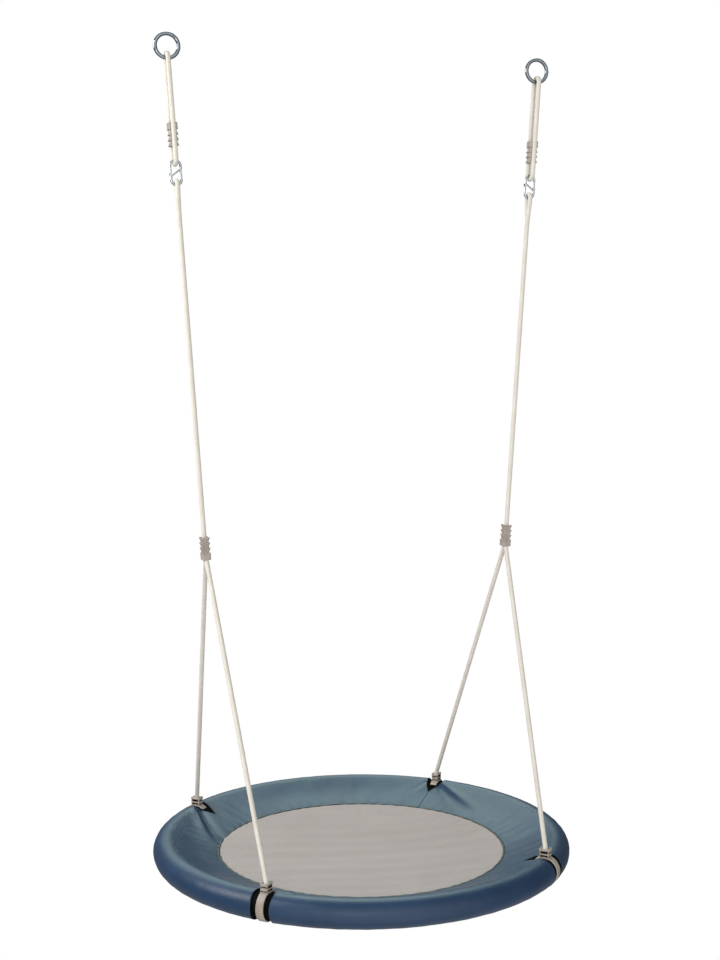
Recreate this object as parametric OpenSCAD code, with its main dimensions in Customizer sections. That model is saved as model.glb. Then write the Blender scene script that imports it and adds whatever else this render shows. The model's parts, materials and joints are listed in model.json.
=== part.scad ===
// Saucer nest swing: a padded steel ring with a mesh seat, hung by two ropes.
// Millimetres. The origin is midway between the two hanging rings, at the height
// where a hook bears on them. +X runs from the left ring to the right ring,
// +Y is away from the viewer and +Z is up.

/* [Hanging] */
// Distance between the two hanging rings
hang_spacing = 820; // [780:5:860]
// Height of the hanging points above the middle of the seat rim
hang_drop = 1700; // [1690:5:1900]
// Distance between the two leg clamps
clamp_spacing = 682; // [670:2:700]
// Height of the leg clamps' fork above the middle of the seat rim
fork_rise = 644; // [620:2:680]

/* [Rings and ropes] */
// Outside diameter of a hanging ring
ring_od = 56; // [54:1:60]
// Wire diameter of a hanging ring
ring_wire = 8; // [7:0.5:9]
// Rope diameter
rope_d = 10; // [9:0.5:11]
// Gap between a rope and the wire it hangs on
rope_gap = 0.35; // [0.3:0.05:0.5]

/* [Links] */
// Length of a double-gated link
link_len = 54; // [52:1:58]
// Width of a double-gated link
link_w = 26; // [25:0.5:28]
// Wire diameter of a link
link_wire = 5; // [4.5:0.25:5.5]
// Distance from the ring wire to the middle of the link, along the rope
link_at = 227.5; // [220:0.5:240]
// Diameter of a link's gate
gate_d = 4; // [3.5:0.25:4.5]

/* [Clamps] */
// Width of a rope clamp
clamp_w = 19.5; // [18:0.5:22]
// Depth of a rope clamp
clamp_depth = 24; // [23.5:0.5:25]
// Height of a loop adjuster
adjuster_h = 47.5; // [45:0.5:50]
// Distance from the ring wire to the middle of the adjuster, along the rope
adjuster_at = 151.5; // [140:0.5:160]
// Distance from the line to each strand of the sling's loop
strand_at = 12; // [11.5:0.25:12.5]
// Height of a leg clamp above its fork point
clamp_rise = 41; // [38:1:44]
// Depth of a leg clamp below its fork point
clamp_foot = 6.5; // [6:0.5:8]
// Height of the plain end tier of a clamp
tier_h = 13.8; // [13:0.2:16]
// Depth of the recess under each fin
fin_cut = 2.8; // [2:0.1:3.5]

/* [Seat] */
// Outside diameter of the seat
seat_d = 900; // [880:5:920]
// Outside diameter of the padded rim
pad_d = 57; // [55:1:60]
// Outside diameter of the steel ring's tube
tube_d = 30; // [28:0.5:32]
// Wall of the steel tube
tube_wall = 1.5; // [1.2:0.1:2]
// Diameter of the mesh panel
mesh_d = 622; // [600:2:640]
// Depth of the mesh edge below the middle of the rim
mesh_drop = 11; // [8:1:14]
// Sag of the mesh's middle below its edge
mesh_sag = 15; // [10:1:20]
// Thickness of the seat fabrics
fabric_t = 1.3; // [1:0.1:1.6]

/* [Clips] */
// Width of a clip, along the rim
clip_w = 17; // [16:0.5:18]
// Depth of a clip block, across the rim
clip_depth = 24; // [23:0.5:26]
// Height of a clip block's top above the middle of the rim
clip_top = 46.5; // [46:0.5:50]
// Thickness of a clip strap
strap_t = 3; // [2.5:0.1:3.5]
// Half width of the opening in the cover at a clip
slit_half_w = 22; // [20:0.5:24]
// Distance of the opening's tip from the seat's centre
slit_tip_r = 372; // [365:1:378]

/* [Hidden] */

LEFT = -1;
RIGHT = 1;
// Directions of the clips, seen from above
FRONT_LEFT = 225;
FRONT_RIGHT = 315;
BACK_RIGHT = 45;
BACK_LEFT = 135;
CLIPS = [FRONT_LEFT, FRONT_RIGHT, BACK_RIGHT, BACK_LEFT];

fit = 0.1;
eps = 0.01;
wire_fn = 24;
ring_fn = 64;
rim_fn = 120;

// Hanging rings and the line each rope runs along
ring_r = (ring_od - ring_wire) / 2;
ring_z = ring_wire / 2 - ring_r;
wire_z = ring_z - ring_r;
fork_z = fork_rise - hang_drop;
run_x = (hang_spacing - clamp_spacing) / 2;
run_z = wire_z - fork_z;
run = sqrt(run_x * run_x + run_z * run_z);
lean = atan(run_x / run_z);
rope_r = rope_d / 2;
loop_r = ring_wire / 2 + rope_gap + rope_r;
eye_r = link_wire / 2 + rope_gap + rope_r;

// Link
bow_r = (link_w - link_wire) / 2;
bow_at = (link_len - link_w) / 2;
wire_r = link_wire / 2;
gate_r = gate_d / 2;
bar_r = 1.6;
bar_end_z = 7.5;
gate_pivot_z = -2.3;
gate_eye_r = 2.2;
gate_eye_t = 2.6;
gate_gap = 0.4;
cheek_r = 2.6;
pin_r = 0.9;
pin_fit = 0.05;

// Clamps
nose_r = clamp_depth / 2 - 0.5;
fork_gap = 1.5;
leg_start = nose_r + fork_gap + 0.2;
socket_r = rope_r + rope_gap;
socket_depth = 4;
socket_flare = 0.55;

// Seat
rim_r = (seat_d - pad_d) / 2;
pad_r = pad_d / 2;
tube_r = tube_d / 2;
foam_r = pad_r - fabric_t - 0.2;
strap_in_r = foam_r + 0.2;
strap_out_r = strap_in_r + strap_t;
mesh_r = mesh_d / 2;
seam_gap = 0.4;
joiner_r = tube_r - tube_wall - fit;
joiner_half_angle = 5;
foam_half_angle = 44.95;
tube_half_angle = 44.97;
screw_angle = 2.5;
clip_screw_at = 9.3;
screw_r = 1.45;
screw_l = 9.4;
screw_head_r = 2.8;
screw_head_h = 1.3;
screw_head_z = 26.4;
ferrule_r = 5.9;
ferrule_h = 8;
ferrule_z = 35.6;
ferrule_cup = 4;
slot_z = [31.5, 39.5];
slot_l = 15;
slot_h = 3;
slot_deep = 2.2;
groove_deep = 0.8;

module at_side(side) {
    translate([side * hang_spacing / 2, 0, wire_z])
        rotate([0, side * lean, 0])
            children();
}

module rod(from, to, r) {
    v = to - from;
    length = norm(v);
    translate(from)
        rotate([0, acos(v[2] / length), atan2(v[1], v[0])])
            cylinder(r = r, h = length, $fn = wire_fn);
}

module ball(at, r) {
    translate(at)
        sphere(r = r, $fn = wire_fn);
}

// Part of a torus about Z, from the +X direction round
module bend(r, wire, angle) {
    rotate_extrude(angle = angle, $fn = ring_fn)
        translate([r, 0])
            circle(r = wire, $fn = wire_fn);
}

// A half turn over the X axis, open downwards
module turn_up(r, wire) {
    rotate([0, 0, 90])
        rotate([90, 0, 0])
            bend(r, wire, 180);
}

module ring(side) {
    color("silver")
        translate([side * hang_spacing / 2, 0, ring_z])
            rotate([90, 0, 0])
                bend(ring_r, ring_wire / 2, 360);
}

// The rope loop between a hanging ring and its link
module sling_rope(side) {
    top = loop_r - strand_at;
    bottom = -link_at + link_len / 2 - wire_r + strand_at - eye_r;
    color("ivory")
        at_side(side) {
            translate([0, 0, top])
                turn_up(strand_at, rope_r);
            translate([0, 0, bottom])
                mirror([0, 0, 1])
                    turn_up(strand_at, rope_r);
            for (y = [-strand_at, strand_at])
                rod([0, y, bottom], [0, y, top], rope_r);
        }
}

// Outline of a clamp: a plain tier, then fins that flare away from it
function fins(half_w, height, plain_h) =
    let (
        step = (height - plain_h) / 3,
        right = concat(
            [[half_w, 0], [half_w, plain_h]],
            [for (i = [0:2], p = [[half_w - fin_cut, 0], [half_w, step]])
                [p[0], plain_h + i * step + p[1]]]
        )
    )
    concat(right, [for (i = [len(right) - 1:-1:0]) [-right[i][0], right[i][1]]]);

module fin_sheet(half_w, height, plain_h, length) {
    rotate([90, 0, 0])
        linear_extrude(length, center = true)
            polygon(fins(half_w, height, plain_h));
}

// Finned block standing on the XY plane
module finned_block(w, depth, height, plain_h) {
    intersection() {
        fin_sheet(w / 2, height, plain_h, 2 * depth);
        rotate([0, 0, 90])
            fin_sheet(depth / 2, height, plain_h, 2 * w);
    }
}

// Grips both strands of a rope loop, one in a groove on each face
module loop_adjuster(side) {
    color("tan")
        at_side(side)
            translate([0, 0, -adjuster_at + adjuster_h / 2])
                mirror([0, 0, 1])
                    difference() {
                        finned_block(clamp_w, clamp_depth, adjuster_h, tier_h);
                        for (y = [-1, 1])
                            translate([0, y * strand_at, -1])
                                cylinder(r = rope_r + fit, h = adjuster_h + 2, $fn = wire_fn);
                    }
}

// Half of the S: a bow, its long side, and the ears that carry the other eye's gate
module link_half() {
    ear_w = link_wire;
    ear_in = gate_eye_t / 2 + fit;
    translate([0, 0, -bow_at])
        rotate([-90, 0, 0])
            bend(bow_r, wire_r, 180);
    rod([-bow_r, 0, -bow_at - eps], [-bow_r, 0, gate_pivot_z - cheek_r - 0.3], wire_r);
    for (y = [-wire_r, ear_in])
        translate([-bow_r, y, gate_pivot_z])
            rotate([-90, 0, 0])
                cylinder(r = cheek_r, h = wire_r - ear_in, $fn = wire_fn);
    for (y = [-wire_r, ear_in])
        translate([-bow_r - ear_w / 2, y, gate_pivot_z - cheek_r - 1])
            cube([ear_w, wire_r - ear_in, cheek_r + 1]);
}

module pin_hole(r) {
    translate([-bow_r, 0, gate_pivot_z])
        rotate([90, 0, 0])
            cylinder(r = r, h = link_wire + 2, center = true, $fn = wire_fn);
}

// The two links are the same part, turned back to front on the right
module at_link(side) {
    at_side(side)
        translate([0, 0, -link_at])
            rotate([0, 0, side == RIGHT ? 180 : 0])
                children();
}

module s_link(side) {
    color("silver")
        at_link(side)
            difference() {
                union() {
                    for (turn = [0, 180])
                        rotate([0, turn, 0])
                            link_half();
                    rod([-bow_r, 0, -bar_end_z], [bow_r, 0, bar_end_z], bar_r);
                }
                for (turn = [0, 180])
                    rotate([0, turn, 0])
                        pin_hole(pin_r);
            }
}

module gate(side, turn) {
    top = bow_at - gate_gap;
    color("gainsboro")
        at_link(side)
            rotate([0, turn, 0])
                difference() {
                    union() {
                        translate([-bow_r, 0, gate_pivot_z])
                            rotate([90, 0, 0])
                                cylinder(r = gate_eye_r, h = gate_eye_t, center = true, $fn = wire_fn);
                        rod([-bow_r, 0, gate_pivot_z + cheek_r + gate_gap], [-bow_r, 0, top], gate_r);
                        translate([-bow_r - gate_r / 2, -gate_eye_t / 2, gate_pivot_z])
                            cube([gate_r, gate_eye_t, cheek_r + 1]);
                    }
                    pin_hole(pin_r + pin_fit);
                }
}

module gate_pins(side) {
    color("dimgray")
        at_link(side)
            for (turn = [0, 180])
                rotate([0, turn, 0])
                    translate([-bow_r, 0, gate_pivot_z])
                        rotate([90, 0, 0])
                            cylinder(r = pin_r, h = link_wire, center = true, $fn = wire_fn);
}

// Single rope with a spliced eye round the link's lower bow
module line_rope(side) {
    eye_z = -link_at - link_len / 2 + wire_r;
    splice_z = eye_z - 4 * rope_d;
    end_z = -run + clamp_rise - socket_depth;
    color("ivory")
        at_side(side) {
            translate([0, 0, eye_z])
                turn_up(eye_r, rope_r);
            for (y = [-eye_r, eye_r])
                rod([0, 0, splice_z], [0, y, eye_z], rope_r);
            for (y = [-eye_r, eye_r])
                ball([0, y, eye_z], rope_r);
            rod([0, 0, end_z], [0, 0, splice_z], rope_r);
            ball([0, 0, splice_z], rope_r);
            ball([0, 0, end_z], rope_r);
        }
}

// Joins the line to two legs; its rounded foot is the seat's tilting pivot
module leg_clamp(side) {
    color("tan")
        difference() {
            union() {
                at_side(side)
                    translate([0, 0, -run])
                        finned_block(clamp_w, clamp_depth, clamp_rise, tier_h - clamp_foot);
                intersection() {
                    translate([side * clamp_spacing / 2, 0, fork_z])
                        rotate([0, 90, 0])
                            cylinder(r = nose_r, h = 2 * clamp_w, center = true, $fn = ring_fn);
                    at_side(side)
                        translate([-clamp_w / 2, -clamp_depth, -run - clamp_foot])
                            cube([clamp_w, 2 * clamp_depth, tier_h]);
                }
            }
            at_side(side)
                translate([0, 0, -run + clamp_rise - socket_depth]) {
                    sphere(r = socket_r, $fn = 2 * wire_fn);
                    cylinder(r1 = socket_r, r2 = socket_r + socket_flare, h = socket_depth + eps, $fn = 2 * wire_fn);
                }
        }
}

function fork(side) = [side * clamp_spacing / 2, 0, fork_z];
function rim_point(angle, z) = [rim_r * cos(angle), rim_r * sin(angle), z - hang_drop];
function side_of(angle) = cos(angle) < 0 ? LEFT : RIGHT;

// A rope from a leg clamp down into its clip
module leg_rope(angle) {
    apex = fork(side_of(angle));
    end = rim_point(angle, clip_top);
    leg = end - apex;
    color("ivory") {
        rod(apex + leg / norm(leg) * leg_start, end, rope_r);
        ball(end, rope_r + fit / 2);
        rod(end, rim_point(angle, ferrule_z - ferrule_cup + fit), rope_r);
    }
}

// Places a clip part: +X outwards from the seat's centre, +Y along the rim
module at_clip(angle) {
    translate(rim_point(angle, 0))
        rotate([0, 0, angle])
            children();
}

module clip_block(angle) {
    base_z = sqrt(strap_out_r * strap_out_r - clip_depth * clip_depth / 4) - 4;
    color("tan")
        at_clip(angle)
            difference() {
                translate([-clip_depth / 2, -clip_w / 2, base_z])
                    cube([clip_depth, clip_w, clip_top - base_z]);
                rotate([90, 0, 0])
                    cylinder(r = strap_out_r + eps, h = 2 * clip_w, center = true, $fn = ring_fn);
                cylinder(r = ferrule_r + fit, h = ferrule_z + fit, $fn = wire_fn);
                cylinder(r = rope_r + rope_gap, h = clip_top + 1, $fn = wire_fn);
                for (z = slot_z, turn = [0, 180])
                    rotate([0, 0, turn]) {
                        translate([-slot_l / 2, clip_w / 2 - slot_deep, z - slot_h / 2])
                            cube([slot_l, 2 * slot_deep, slot_h]);
                        translate([clip_depth / 2 - groove_deep, -clip_w / 2 - 1, z - slot_h / 2])
                            cube([2 * groove_deep, clip_w + 2, slot_h]);
                    }
                for (x = [-clip_screw_at, clip_screw_at])
                    translate([x, 0, 0])
                        cylinder(r = screw_r + fit, h = screw_head_z + screw_l + fit, $fn = wire_fn);
            }
}

module clip_strap(angle) {
    color("tan")
        at_clip(angle)
            difference() {
                rotate([90, 0, 0])
                    difference() {
                        cylinder(r = strap_out_r, h = clip_w, center = true, $fn = ring_fn);
                        cylinder(r = strap_in_r, h = clip_w + 2, center = true, $fn = ring_fn);
                    }
                for (x = [-clip_screw_at, clip_screw_at])
                    translate([x, 0, 0]) {
                        cylinder(r = screw_r + fit, h = pad_d, $fn = wire_fn);
                        cylinder(r = screw_head_r + fit, h = screw_head_z + screw_head_h + fit, $fn = wire_fn);
                    }
                cylinder(r = ferrule_r + fit, h = pad_d, $fn = wire_fn);
            }
}

module leg_ferrules() {
    color("silver")
        for (angle = CLIPS)
            at_clip(angle)
                translate([0, 0, ferrule_z - ferrule_h])
                    difference() {
                        cylinder(r = ferrule_r, h = ferrule_h, $fn = wire_fn);
                        translate([0, 0, ferrule_h - ferrule_cup])
                            cylinder(r = rope_r + fit, h = ferrule_h, $fn = wire_fn);
                    }
}

module clip_screws() {
    color("dimgray")
        for (angle = CLIPS, x = [-clip_screw_at, clip_screw_at])
            at_clip(angle)
                translate([x, 0, screw_head_z]) {
                    cylinder(r = screw_head_r, h = screw_head_h, $fn = wire_fn);
                    cylinder(r = screw_r, h = screw_l, $fn = wire_fn);
                }
}

// Sweeps a section along the rim through the given half angle
module rim_sweep(angle, half_angle) {
    translate([0, 0, -hang_drop])
        rotate([0, 0, angle - half_angle])
            rotate_extrude(angle = 2 * half_angle, $fn = rim_fn)
                children();
}

// A pipe that follows the rim
module rim_pipe(angle, half_angle, out_r, in_r) {
    rim_sweep(angle, half_angle)
        translate([rim_r, 0])
            difference() {
                circle(r = out_r, $fn = 2 * wire_fn);
                circle(r = in_r, $fn = 2 * wire_fn);
            }
}

module frame_tube(angle) {
    color("gray")
        difference() {
            rim_pipe(angle, tube_half_angle, tube_r, tube_r - tube_wall);
            for (side = [-1, 1])
                screw_hole(angle + side * (45 - screw_angle), 2.1);
        }
}

module screw_hole(angle, r) {
    at_clip(angle)
        translate([0, 0, -tube_r - 1])
            cylinder(r = r, h = 6, $fn = wire_fn);
}

module frame_joiners() {
    color("darkgray")
        for (angle = [0:90:270])
            difference() {
                rim_pipe(angle, joiner_half_angle, joiner_r, joiner_r - tube_wall);
                for (side = [-1, 1])
                    screw_hole(angle + side * screw_angle, 2.1);
            }
}

module joiner_screws() {
    color("dimgray")
        for (angle = [0:90:270], side = [-1, 1])
            at_clip(angle + side * screw_angle)
                translate([0, 0, -tube_r + 0.1])
                    cylinder(r = 2, h = 4.5, $fn = wire_fn);
}

module foam_sleeve(angle) {
    color("black")
        rim_pipe(angle, foam_half_angle, foam_r, tube_r + fit);
}

// Section of the cover's skirt, from the padded rim down to the mesh
module skirt_section() {
    reach = rim_r - mesh_r - seam_gap;
    top_r = pad_r - 0.2;
    bottom_r = foam_r + 0.5;
    slope = atan(mesh_drop / reach) + asin(top_r / norm([reach, mesh_drop]));
    polygon([
        [mesh_r + seam_gap, -mesh_drop],
        [rim_r - top_r * sin(slope), top_r * cos(slope)],
        [rim_r - bottom_r * sin(slope), bottom_r * cos(slope)],
        [mesh_r + seam_gap, -mesh_drop - fabric_t]
    ]);
}

// Pointed opening in the cover round a clip
module slit(angle) {
    outer_r = 2 * (rim_r + pad_r / 2) - slit_tip_r;
    half_l = (outer_r - slit_tip_r) / 2;
    arc_r = (half_l * half_l + slit_half_w * slit_half_w) / (2 * slit_half_w);
    rotate([0, 0, angle])
        translate([slit_tip_r + half_l, 0, -hang_drop - pad_d])
            linear_extrude(2 * pad_d)
                intersection_for(y = [-1, 1])
                    translate([0, y * (arc_r - slit_half_w)])
                        circle(r = arc_r, $fn = 2 * rim_fn);
}

// A skin round the padded rim, with a skirt down to the mesh
module cover_panel(angle) {
    half_angle = 45 - atan(seam_gap / 2 / mesh_r);
    color("slategray")
        difference() {
            union() {
                rim_sweep(angle, half_angle)
                    translate([rim_r, 0])
                        circle(r = pad_r, $fn = 2 * wire_fn);
                rim_sweep(angle, half_angle)
                    skirt_section();
            }
            rim_sweep(angle, 45)
                translate([rim_r, 0])
                    circle(r = foam_r + 0.2, $fn = 2 * wire_fn);
            for (side = [-45, 45])
                slit(angle + side);
        }
}

// Shallow dish of mesh
module seat_mesh() {
    steps = 10;
    top = [for (i = [0:steps])
        let (x = mesh_r * i / steps)
        [x, -mesh_drop - mesh_sag * (1 - pow(i / steps, 2))]];
    color("tan")
        translate([0, 0, -hang_drop])
            rotate_extrude($fn = rim_fn)
                polygon(concat(top, [for (i = [steps:-1:0]) top[i] - [0, fabric_t]]));
}

ring(LEFT);  // ring_left
ring(RIGHT);  // ring_right
sling_rope(LEFT);  // sling_rope_left
sling_rope(RIGHT);  // sling_rope_right
loop_adjuster(LEFT);  // loop_adjuster_left
loop_adjuster(RIGHT);  // loop_adjuster_right
s_link(LEFT);  // s_link_left
s_link(RIGHT);  // s_link_right
gate(LEFT, 0);  // upper_gate_left
gate(RIGHT, 0);  // upper_gate_right
gate(LEFT, 180);  // lower_gate_left
gate(RIGHT, 180);  // lower_gate_right
gate_pins(LEFT);  // gate_pins_left
gate_pins(RIGHT);  // gate_pins_right
line_rope(LEFT);  // line_rope_left
line_rope(RIGHT);  // line_rope_right
leg_clamp(LEFT);  // leg_clamp_left
leg_clamp(RIGHT);  // leg_clamp_right
leg_rope(FRONT_LEFT);  // leg_rope_front_left
leg_rope(FRONT_RIGHT);  // leg_rope_front_right
leg_rope(BACK_LEFT);  // leg_rope_back_left
leg_rope(BACK_RIGHT);  // leg_rope_back_right
clip_block(FRONT_LEFT);  // clip_block_front_left
clip_block(FRONT_RIGHT);  // clip_block_front_right
clip_block(BACK_LEFT);  // clip_block_back_left
clip_block(BACK_RIGHT);  // clip_block_back_right
clip_strap(FRONT_LEFT);  // clip_strap_front_left
clip_strap(FRONT_RIGHT);  // clip_strap_front_right
clip_strap(BACK_LEFT);  // clip_strap_back_left
clip_strap(BACK_RIGHT);  // clip_strap_back_right
leg_ferrules();
clip_screws();
frame_tube(FRONT_LEFT);  // frame_tube_front_left
frame_tube(FRONT_RIGHT);  // frame_tube_front_right
frame_tube(BACK_LEFT);  // frame_tube_back_left
frame_tube(BACK_RIGHT);  // frame_tube_back_right
frame_joiners();
joiner_screws();
foam_sleeve(FRONT_LEFT);  // foam_sleeve_front_left
foam_sleeve(FRONT_RIGHT);  // foam_sleeve_front_right
foam_sleeve(BACK_LEFT);  // foam_sleeve_back_left
foam_sleeve(BACK_RIGHT);  // foam_sleeve_back_right
cover_panel(270);  // cover_panel_front
cover_panel(0);  // cover_panel_right
cover_panel(90);  // cover_panel_back
cover_panel(180);  // cover_panel_left
seat_mesh();
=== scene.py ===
"""The looks of the saucer nest swing, built round its CAD frame.

Metres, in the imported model's frame: +X runs from the left ring to the right ring,
+Y is away from the viewer, +Z is up, and the origin is at the hanging height.
"""

import json
import math

import bpy
import numpy as np
from mathutils import Matrix, Vector


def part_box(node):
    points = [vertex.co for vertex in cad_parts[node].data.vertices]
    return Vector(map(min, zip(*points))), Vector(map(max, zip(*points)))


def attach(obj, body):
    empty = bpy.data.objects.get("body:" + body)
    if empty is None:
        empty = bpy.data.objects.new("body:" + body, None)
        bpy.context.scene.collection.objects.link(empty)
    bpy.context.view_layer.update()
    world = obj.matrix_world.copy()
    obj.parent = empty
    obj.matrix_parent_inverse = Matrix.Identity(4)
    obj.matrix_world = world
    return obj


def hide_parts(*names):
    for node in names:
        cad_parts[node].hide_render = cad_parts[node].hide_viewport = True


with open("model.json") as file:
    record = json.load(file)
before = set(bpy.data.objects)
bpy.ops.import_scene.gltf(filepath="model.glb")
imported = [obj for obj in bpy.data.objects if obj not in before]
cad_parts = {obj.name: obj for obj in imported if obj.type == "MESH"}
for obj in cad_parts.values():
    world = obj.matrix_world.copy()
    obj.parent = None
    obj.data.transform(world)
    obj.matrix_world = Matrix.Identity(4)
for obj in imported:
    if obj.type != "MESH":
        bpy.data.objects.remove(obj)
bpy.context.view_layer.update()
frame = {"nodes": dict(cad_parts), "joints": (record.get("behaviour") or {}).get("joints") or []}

MM = 0.001
SIDES = ("left", "right")
# Directions of the clips from the seat's centre, in degrees
CLIPS = {"front_left": 225, "front_right": 315, "back_right": 45, "back_left": 135}
# Middle of each cover panel
PANELS = {"front": 270, "right": 0, "back": 90, "left": 180}

# ---------------------------------------------------------------- dimensions

joint_at = {j["name"]: Vector(j["pos_m"]) for j in frame["joints"]}
ring_low, ring_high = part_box("ring_left")
ring_d = ring_high.x - ring_low.x
ring_wire = ring_high.y - ring_low.y
sling_low, sling_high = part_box("sling_rope_left")
mesh_low, mesh_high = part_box("seat_mesh")
front_low, front_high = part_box("cover_panel_front")
block_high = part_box("clip_block_front_left")[1]

ROPE_D = 10 * MM
rope_r = ROPE_D / 2
strand_at = (sling_high.y - sling_low.y - ROPE_D) / 2
loop_r = ring_wire / 2 + 0.35 * MM + rope_r
LINK_LEN = 54 * MM
LINK_W = 26 * MM
LINK_WIRE = 5 * MM
eye_r = LINK_WIRE / 2 + rope_r + 0.35 * MM

pad_r = (front_high.z - front_low.z) / 2
rim_z = (front_high.z + front_low.z) / 2
seat_r = -front_low.y
rim_r = seat_r - pad_r
mesh_r = mesh_high.x
mesh_edge_z = mesh_high.z
mesh_sag = mesh_high.z - mesh_low.z - 1.3 * MM
clip_top = block_high.z - rim_z
STRAP_R = 30.2 * MM
STRAP_IN_R = 27.2 * MM
STRAP_W = 17 * MM
FOAM_R = 26.8 * MM
SLIT_HALF_W = 22 * MM
SLIT_TIP_R = 372 * MM

fork = {
    "left": joint_at["seat_tilt"],
    "right": joint_at["seat_tilt"] * Vector((-1, 1, 1)),
}
wire_point = {"left": joint_at["swing"], "right": joint_at["swing_right"]}
run = (fork["left"] - wire_point["left"]).length
link_at = (joint_at["sway"] - wire_point["left"]).length + LINK_LEN / 2 - LINK_W / 2


def side_matrix(side):
    """Local -Z runs down the line from the ring to the fork, and local Y is the row's Y."""
    up = (wire_point[side] - fork[side]).normalized()
    across = Vector((0, 1, 0)).cross(up)
    m = Matrix((across, Vector((0, 1, 0)), up)).transposed().to_4x4()
    m.translation = wire_point[side]
    return m


def clip_matrix(angle):
    """Local +X points out from the seat's centre, and the origin is on the rim's centreline."""
    a = math.radians(angle)
    m = Matrix.Rotation(a, 4, "Z")
    m.translation = Vector((rim_r * math.cos(a), rim_r * math.sin(a), rim_z))
    return m


# ---------------------------------------------------------------- camera

# The photo's camera, solved from the seat's outline with its diameter fixed
camera_data = bpy.data.cameras.new("camera")
camera = bpy.data.objects.new("camera", camera_data)
bpy.context.scene.collection.objects.link(camera)
camera.location = (-1.036, -2.976, rim_z + 1.046)
camera.rotation_euler = (math.radians(90 - 4.57), math.radians(0.12), math.radians(-19.18))
camera_data.sensor_width = 36
camera_data.lens = 55.26
bpy.context.scene.camera = camera


# ---------------------------------------------------------------- mesh helpers


def new_mesh(name, verts, faces, uvs=None, smooth=True):
    """A mesh object. uvs is one (u, v) per corner, in the order of the faces' corners."""
    mesh = bpy.data.meshes.new(name)
    mesh.from_pydata([tuple(v) for v in verts], [], [tuple(f) for f in faces])
    if uvs is not None:
        layer = mesh.uv_layers.new(name="UVMap")
        layer.data.foreach_set("uv", np.asarray(uvs, np.float32).ravel())
    mesh.polygons.foreach_set("use_smooth", [smooth] * len(mesh.polygons))
    mesh.update()
    obj = bpy.data.objects.new(name, mesh)
    bpy.context.scene.collection.objects.link(obj)
    return obj


def grid(name, points, uv, close_rows=False, close_cols=False, caps=False):
    """A surface through points[row][col]. uv has one more row or column where the grid closes."""
    rows, cols = points.shape[:2]
    last_row = rows if close_rows else rows - 1
    last_col = cols if close_cols else cols - 1
    i, j = np.meshgrid(np.arange(last_row), np.arange(last_col), indexing="ij")
    i, j = i.ravel(), j.ravel()
    corners = [(i, j), (i, j + 1), (i + 1, j + 1), (i + 1, j)]
    faces = np.stack([(a % rows) * cols + b % cols for a, b in corners], -1)
    uvs = np.stack([uv[a, b] for a, b in corners], 1).reshape(-1, 2)
    faces = faces.tolist()
    if caps:
        faces.append(list(range(cols)))
        faces.append([(rows - 1) * cols + k for k in reversed(range(cols))])
        uvs = np.concatenate([uvs, np.zeros((2 * cols, 2))])
    obj = new_mesh(name, points.reshape(-1, 3), faces, uvs)
    return obj


def arc_length(path):
    steps = np.linalg.norm(np.diff(path, axis=0), axis=1)
    return np.concatenate([[0], np.cumsum(steps)])


def resample(path, step):
    """Evenly spaced points along a polyline."""
    s = arc_length(path)
    n = max(2, int(round(s[-1] / step)) + 1)
    at = np.linspace(0, s[-1], n)
    return np.stack([np.interp(at, s, path[:, k]) for k in range(3)], -1)


def path_frames(path):
    """Two unit normals along a path, turned as little as possible."""
    tangent = np.gradient(path, axis=0)
    tangent /= np.linalg.norm(tangent, axis=1)[:, None]
    first = np.array([1.0, 0, 0]) if abs(tangent[0][0]) < 0.9 else np.array([0, 1.0, 0])
    normal = first - tangent[0] * (first @ tangent[0])
    normals = [normal / np.linalg.norm(normal)]
    for t in tangent[1:]:
        n = normals[-1] - t * (normals[-1] @ t)
        normals.append(n / np.linalg.norm(n))
    normals = np.array(normals)
    return normals, np.cross(tangent, normals)


def arc(centre, radius, start, end, steps):
    """Points of an arc in the YZ plane. Angles are in degrees, from +Y towards +Z."""
    a = np.radians(np.linspace(start, end, steps))
    return np.stack(
        [centre[0] + 0 * a, centre[1] + radius * np.cos(a), centre[2] + radius * np.sin(a)], -1
    )


def transform(points, matrix):
    """Points, in an array of any shape whose last axis is x, y, z, through a matrix."""
    m = np.array(matrix)
    moved = points.reshape(-1, 3) @ m[:3, :3].T + m[:3, 3]
    return moved.reshape(points.shape)


def bake(obj):
    """Replaces an object's mesh by what its modifiers make of it."""
    bpy.context.view_layer.update()
    evaluated = obj.evaluated_get(bpy.context.evaluated_depsgraph_get())
    mesh = bpy.data.meshes.new_from_object(evaluated)
    obj.modifiers.clear()
    obj.data = mesh


def unit_grid(cols, rows, width=1.0, height=1.0):
    """UVs of a grid of cols by rows quads, from 0 to width and from 0 to height."""
    return np.stack(
        np.meshgrid(np.linspace(0, width, cols + 1), np.linspace(0, height, rows + 1)), -1
    )


# ---------------------------------------------------------------- materials


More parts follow.
